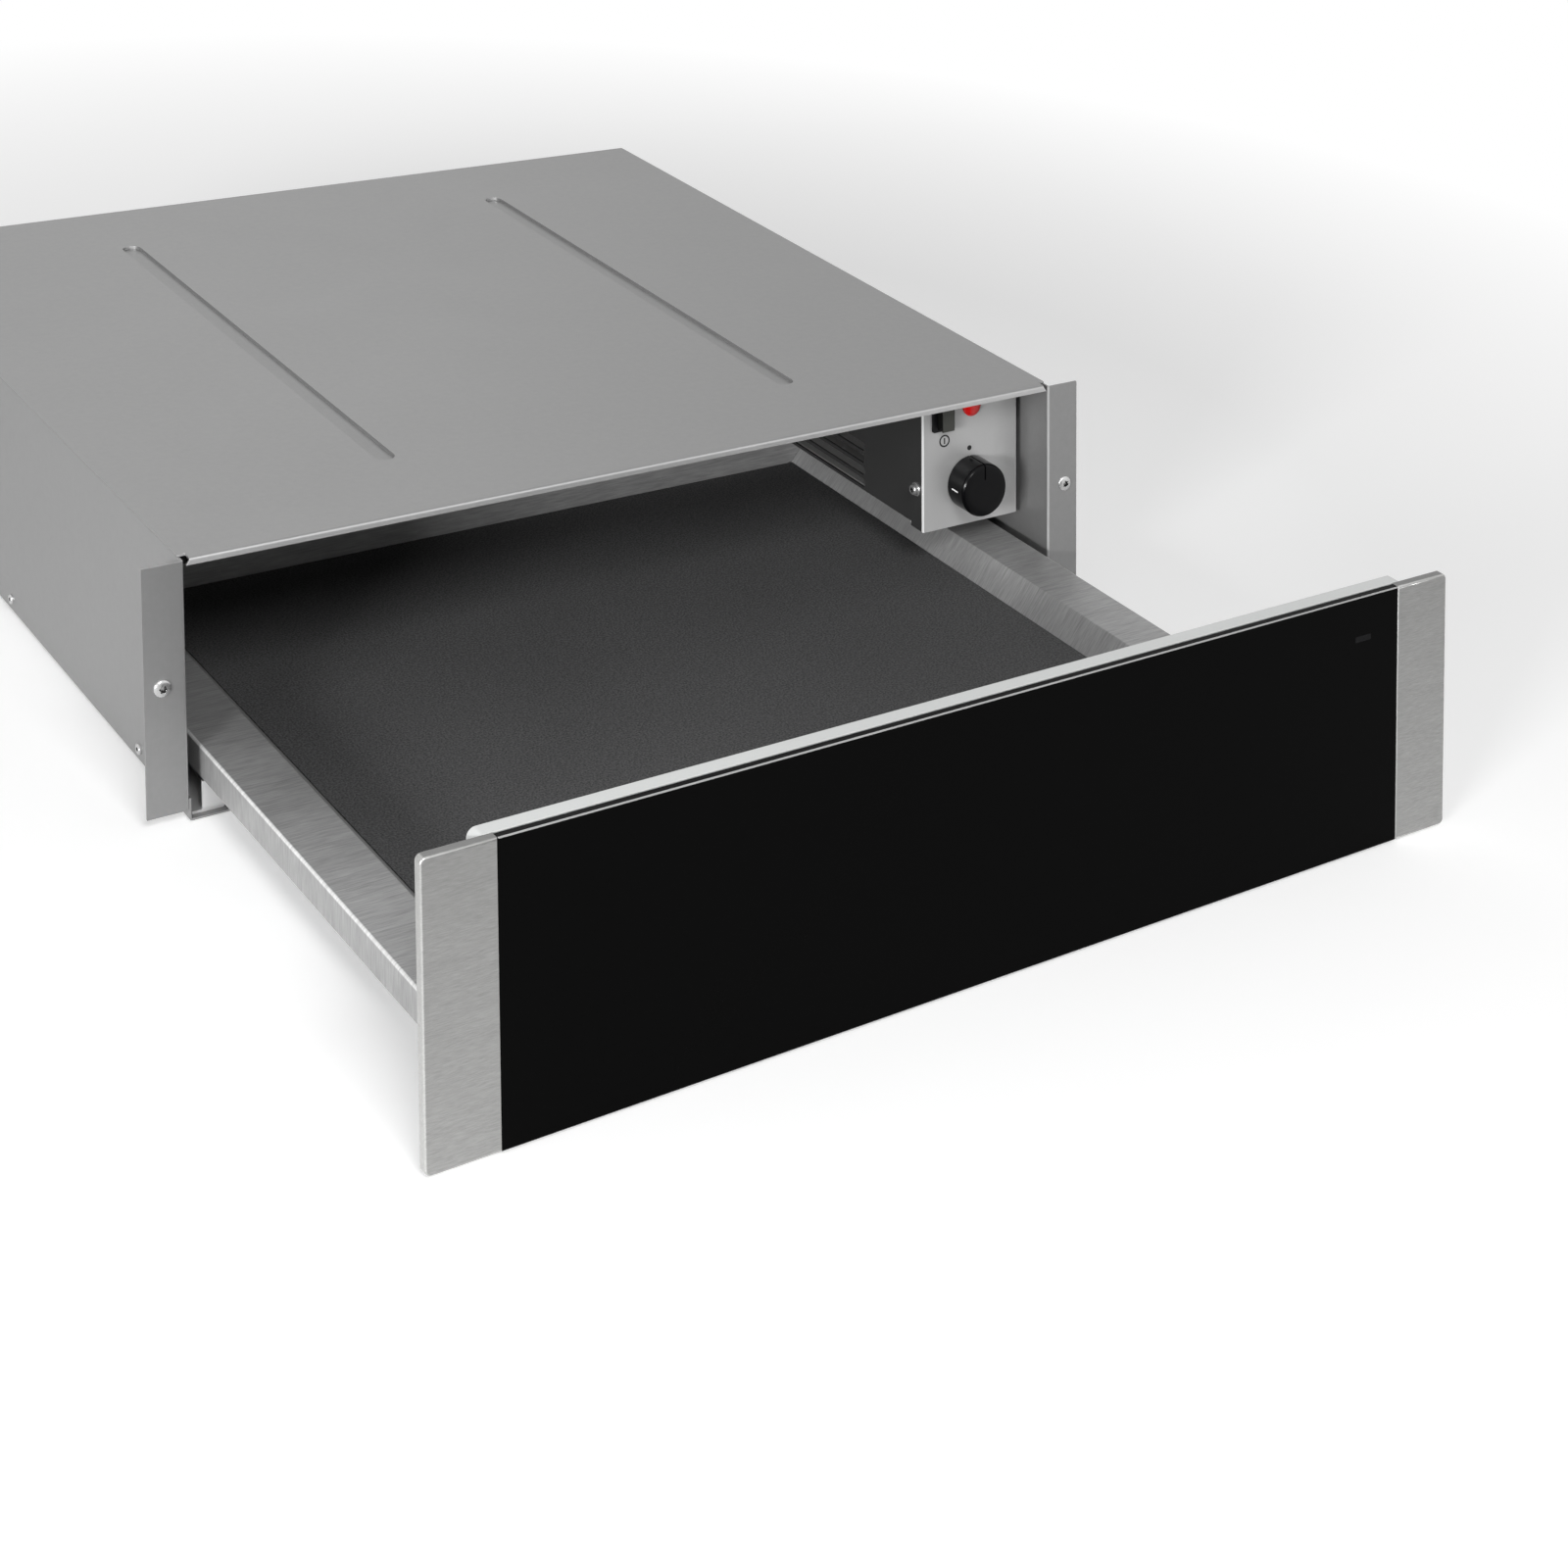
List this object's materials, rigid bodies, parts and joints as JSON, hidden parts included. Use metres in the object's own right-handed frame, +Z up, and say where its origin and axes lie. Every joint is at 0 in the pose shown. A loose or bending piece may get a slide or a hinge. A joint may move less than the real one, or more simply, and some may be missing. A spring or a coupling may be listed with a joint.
{
  "type": "built-in warming drawer",
  "caption": "Built-in warming drawer standing open: glass front with metal ends, low tray on ball slides in a sheet housing, heated air duct with knob, rocker switch and lamp.",
  "frame": {"origin": "centre of the housing's underside", "axes": "+X to the right seen from the front, +Y to the back, +Z up; the drawer stands open towards -Y"},
  "size_m": [0.596, 0.8566, 0.141],
  "materials": {
    "housing_sheet": "satin grey coated sheet",
    "tray_steel": "fine brushed stainless sheet",
    "bright_sheet": "bright galvanised sheet",
    "rail_zinc": "bright zinc plating",
    "ball_steel": "polished bearing steel",
    "front_steel": "brushed stainless",
    "black_glass": "opaque black glass, polished",
    "carrier_paint": "light grey powder coat",
    "seal_rubber": "black bonding strip",
    "mat_rubber": "dark grey anti-slip mat, matte",
    "clear_plastic": "clear moulding",
    "black_sheet": "black satin coat",
    "fascia_silver": "satin silver coat",
    "heater_steel": "annealed steel sheath",
    "black_plastic": "black moulding, fine texture",
    "switch_plastic": "black moulding, semi-gloss",
    "red_plastic": "red lens, polished",
    "pale_plastic": "natural heat-proof moulding",
    "screw_steel": "bright zinc plating",
    "loom_sleeve": "woven black sleeve"
  },
  "bodies": {
    "housing": {"base_plate": "housing_sheet", "side_panel_left": "housing_sheet", "side_panel_right": "housing_sheet", "rear_panel": "housing_sheet", "top_plate": "housing_sheet", "rail_bracket_left": "bright_sheet", "rail_bracket_right": "bright_sheet", "slide_outer_left": "rail_zinc", "slide_outer_right": "rail_zinc", "control_fascia": "fascia_silver", "control_cover": "black_sheet", "duct_channel": "bright_sheet", "duct_baffle": "bright_sheet", "fan_plate": "bright_sheet", "heating_element": "heater_steel", "wiring_loom": "loom_sleeve", "thermal_cutout": "pale_plastic", "fan_frame": "black_plastic", "thermostat_body": "pale_plastic", "switch_frame": "switch_plastic", "lamp_lens": "red_plastic", "lamp_body": "pale_plastic", "terminal_block": "pale_plastic", "cable_gland": "black_plastic", "latch_body": "black_plastic"},
    "drawer": {"tray": "tray_steel", "tray_rear_wall": "tray_steel", "anti_slip_mat": "mat_rubber", "latch_striker": "bright_sheet", "front_glass": "black_glass", "glass_seal": "seal_rubber", "end_strip_left": "front_steel", "end_strip_right": "front_steel", "strip_bracket_left": "bright_sheet", "strip_bracket_right": "bright_sheet", "front_carrier": "carrier_paint", "light_guide": "clear_plastic", "runner_bracket_left": "bright_sheet", "runner_bracket_right": "bright_sheet", "slide_inner_left": "rail_zinc", "slide_inner_right": "rail_zinc"},
    "slide_middle_left": {"slide_middle_left": "rail_zinc"},
    "slide_middle_right": {"slide_middle_right": "rail_zinc"},
    "ball_cage_outer_left": {"ball_cage_outer_left": "rail_zinc", "balls_outer_left": "ball_steel"},
    "ball_cage_outer_right": {"ball_cage_outer_right": "rail_zinc", "balls_outer_right": "ball_steel"},
    "ball_cage_inner_left": {"ball_cage_inner_left": "rail_zinc", "balls_inner_left": "ball_steel"},
    "ball_cage_inner_right": {"ball_cage_inner_right": "rail_zinc", "balls_inner_right": "ball_steel"},
    "knob": {"knob": "black_plastic", "thermostat_shaft": "screw_steel"},
    "rocker": {"switch_rocker": "switch_plastic"},
    "fan_rotor": {"fan_rotor": "black_plastic"},
    "latch_plunger": {"latch_plunger": "black_plastic"}
  },
  "joints": [
    {"name": "drawer_slide", "type": "slide", "parent": "housing", "child": "drawer", "axis": [0, 1, 0], "range_m": [-0.1, 0.303]},
    {"name": "slide_middle_left_travel", "type": "slide", "parent": "housing", "child": "slide_middle_left", "axis": [0, 1, 0], "range_m": [-0.05, 0.1515]},
    {"name": "ball_cage_outer_left_travel", "type": "slide", "parent": "housing", "child": "ball_cage_outer_left", "axis": [0, 1, 0], "range_m": [-0.025, 0.07575]},
    {"name": "ball_cage_inner_left_travel", "type": "slide", "parent": "housing", "child": "ball_cage_inner_left", "axis": [0, 1, 0], "range_m": [-0.075, 0.22725]},
    {"name": "slide_middle_right_travel", "type": "slide", "parent": "housing", "child": "slide_middle_right", "axis": [0, 1, 0], "range_m": [-0.05, 0.1515]},
    {"name": "ball_cage_outer_right_travel", "type": "slide", "parent": "housing", "child": "ball_cage_outer_right", "axis": [0, 1, 0], "range_m": [-0.025, 0.07575]},
    {"name": "ball_cage_inner_right_travel", "type": "slide", "parent": "housing", "child": "ball_cage_inner_right", "axis": [0, 1, 0], "range_m": [-0.075, 0.22725]},
    {"name": "knob_turn", "type": "hinge", "parent": "housing", "child": "knob", "pos_m": [0.2312, -0.2416, 0.0759], "axis": [0, 1, 0], "range_deg": [0, 270]},
    {"name": "rocker_tilt", "type": "hinge", "parent": "housing", "child": "rocker", "pos_m": [0.2115, -0.241, 0.1224], "axis": [1, 0, 0], "range_deg": [0, 20]},
    {"name": "fan_spin", "type": "hinge", "parent": "housing", "child": "fan_rotor", "pos_m": [0.233, -0.012, 0.094], "axis": [0, 1, 0], "continuous": true},
    {"name": "plunger_press", "type": "slide", "parent": "housing", "child": "latch_plunger", "axis": [0, 1, 0], "range_m": [0, 0.003], "stiffness_N_per_m": 300}
  ],
  "couplings": [
    {"joint": "slide_middle_left_travel", "follows": "drawer_slide", "ratio": 0.5},
    {"joint": "ball_cage_outer_left_travel", "follows": "drawer_slide", "ratio": 0.25},
    {"joint": "ball_cage_inner_left_travel", "follows": "drawer_slide", "ratio": 0.75},
    {"joint": "slide_middle_right_travel", "follows": "drawer_slide", "ratio": 0.5},
    {"joint": "ball_cage_outer_right_travel", "follows": "drawer_slide", "ratio": 0.25},
    {"joint": "ball_cage_inner_right_travel", "follows": "drawer_slide", "ratio": 0.75}
  ]
}
